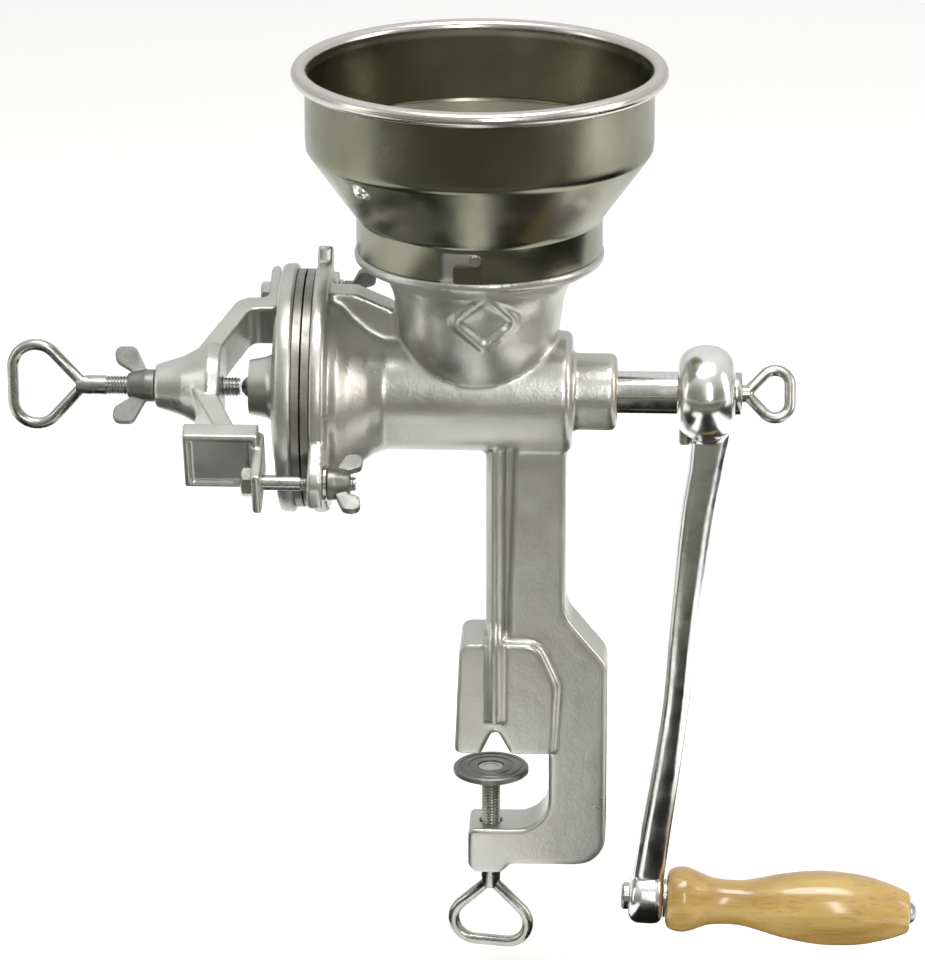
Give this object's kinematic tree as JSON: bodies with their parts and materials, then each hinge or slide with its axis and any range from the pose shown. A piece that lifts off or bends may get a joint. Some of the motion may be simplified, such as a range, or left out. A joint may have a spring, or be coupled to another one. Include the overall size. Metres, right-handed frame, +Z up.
{
  "type": "hand-crank grain mill",
  "caption": "Clamp-on hand-cranked grain mill: hopper over a feed screw, grinding burrs under a yoke with an adjusting screw, C-clamp for a table edge and a crank with a wooden grip.",
  "frame": {"origin": "on the underside of the clamp's upper jaw, in the middle of the shaft's plane, where the jaw rests on the table top", "axes": "+Z up along the hopper's axis, +X along the crank shaft from the burrs towards the crank, -Y towards the user"},
  "size_m": [0.3727, 0.149, 0.3792],
  "materials": {
    "tinned_iron": "hot-tinned sand casting, light matte silver grey",
    "sheet_metal": "satin tinned sheet",
    "plated_steel": "zinc plated",
    "bright_iron": "glossy, smooth tinned casting",
    "burr_iron": "ground grooves, bare iron",
    "bush_bronze": "turned",
    "varnished_wood": "varnished golden hardwood"
  },
  "bodies": {
    "mill": {"main_body": "tinned_iron", "bayonet_pin_front": "plated_steel", "bayonet_pin_rear": "plated_steel", "shaft_bush": "bush_bronze", "fixed_burr": "burr_iron", "fixed_burr_screw_1": "plated_steel", "fixed_burr_screw_2": "plated_steel", "fixed_burr_screw_3": "plated_steel", "yoke": "tinned_iron", "yoke_bolt_front": "plated_steel", "yoke_bolt_rear": "plated_steel", "yoke_washer_front": "plated_steel", "yoke_washer_rear": "plated_steel"},
    "hopper": {"hopper_shell": "sheet_metal", "hopper_rim_wire": "plated_steel"},
    "thrust": {"thrust_ball": "plated_steel"},
    "drive": {"auger_shaft": "plated_steel", "burr_carrier": "tinned_iron", "turning_burr": "burr_iron", "turning_burr_screw_1": "plated_steel", "turning_burr_screw_2": "plated_steel", "turning_burr_screw_3": "plated_steel", "crank_arm": "bright_iron", "crank_set_screw": "plated_steel", "grip_pin": "plated_steel", "grip_pin_nut": "plated_steel", "grip_washer": "plated_steel"},
    "grip": {"grip": "varnished_wood"},
    "crank_screw": {"crank_thumb_screw": "plated_steel"},
    "adjuster": {"adjusting_screw": "plated_steel"},
    "lock_nut": {"lock_wing_nut": "plated_steel"},
    "yoke_nut_front": {"yoke_wing_nut_front": "plated_steel"},
    "yoke_nut_rear": {"yoke_wing_nut_rear": "plated_steel"},
    "pad": {"clamp_pad": "plated_steel"},
    "clamp_spindle": {"clamp_screw": "plated_steel", "clamp_pad_ring": "plated_steel"}
  },
  "joints": [
    {"name": "hopper_twist", "type": "hinge", "parent": "mill", "child": "hopper", "pos_m": [-0.0205, 0, 0.218], "axis": [0, 0, 1], "range_deg": [0, 12.5]},
    {"name": "burr_gap", "type": "slide", "parent": "mill", "child": "thrust", "axis": [1, 0, 0], "range_m": [-0.0015, 0.0005]},
    {"name": "crank_turn", "type": "hinge", "parent": "thrust", "child": "drive", "pos_m": [0, 0, 0.152], "axis": [1, 0, 0], "continuous": true},
    {"name": "grip_spin", "type": "hinge", "parent": "drive", "child": "grip", "pos_m": [0.049, 0, -0.069], "axis": [0.9989, 0, -0.0471], "continuous": true},
    {"name": "crank_screw_turn", "type": "hinge", "parent": "drive", "child": "crank_screw", "pos_m": [0.086, 0, 0.152], "axis": [1, 0, 0], "range_deg": [0, 180]},
    {"name": "adjuster_turn", "type": "hinge", "parent": "thrust", "child": "adjuster", "pos_m": [-0.15, 0, 0.152], "axis": [1, 0, 0], "range_deg": [-433, 145]},
    {"name": "lock_nut_turn", "type": "hinge", "parent": "mill", "child": "lock_nut", "pos_m": [-0.156, 0, 0.152], "axis": [1, 0, 0], "range_deg": [-180, 0]},
    {"name": "yoke_nut_front_turn", "type": "hinge", "parent": "mill", "child": "yoke_nut_front", "pos_m": [-0.075, -0.05378, 0.13027], "axis": [1, 0, 0], "range_deg": [0, 180]},
    {"name": "yoke_nut_rear_turn", "type": "hinge", "parent": "mill", "child": "yoke_nut_rear", "pos_m": [-0.075, 0.05378, 0.17373], "axis": [1, 0, 0], "range_deg": [0, 180]},
    {"name": "clamp_travel", "type": "slide", "parent": "mill", "child": "pad", "axis": [0, 0, 1], "range_m": [-0.0175, 0.006]},
    {"name": "clamp_screw_turn", "type": "hinge", "parent": "pad", "child": "clamp_spindle", "pos_m": [-0.0155, 0, -0.04], "axis": [0, 0, 1], "range_deg": [-5045, 1733]}
  ],
  "couplings": [
    {"joint": "adjuster_turn", "follows": "burr_gap", "rad_per_m": 5026.5},
    {"joint": "clamp_screw_turn", "follows": "clamp_travel", "rad_per_m": 5026.5}
  ]
}
